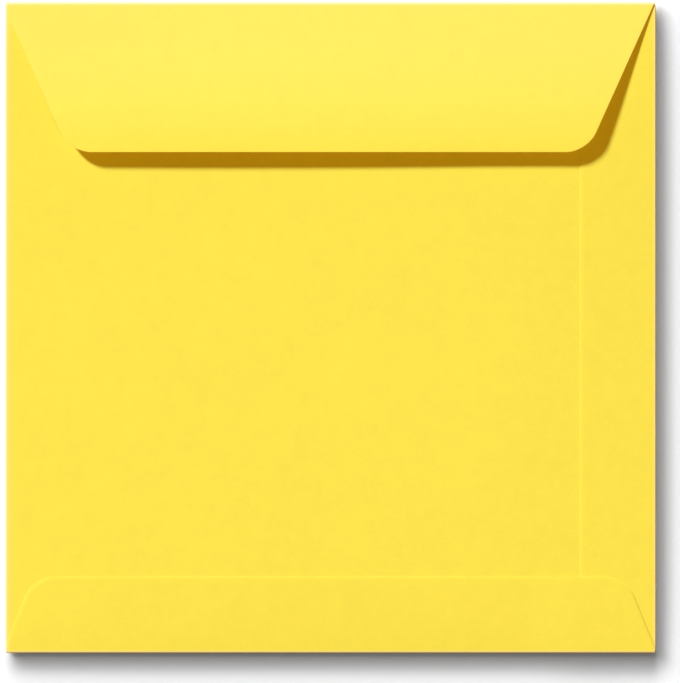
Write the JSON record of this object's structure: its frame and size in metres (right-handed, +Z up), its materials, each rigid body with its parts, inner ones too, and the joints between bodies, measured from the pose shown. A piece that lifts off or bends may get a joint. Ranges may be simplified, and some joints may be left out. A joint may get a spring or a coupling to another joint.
{
  "type": "square envelope",
  "caption": "Flat square paper envelope with a side seam, a tapered bottom flap and a tapered closing flap that stands slightly open.",
  "frame": {"origin": "centre of the envelope's outline, on the surface that it lies on", "axes": "+Z up from the surface, with the flap side up; +Y towards the closing flap's fold; +X to the right seen from the flap side, towards the side seam"},
  "size_m": [0.22, 0.22, 0.0052],
  "materials": {
    "yellow_paper": "uncoated, smooth, dyed right through"
  },
  "bodies": {
    "root": {"envelope": "yellow_paper"}
  },
  "joints": []
}
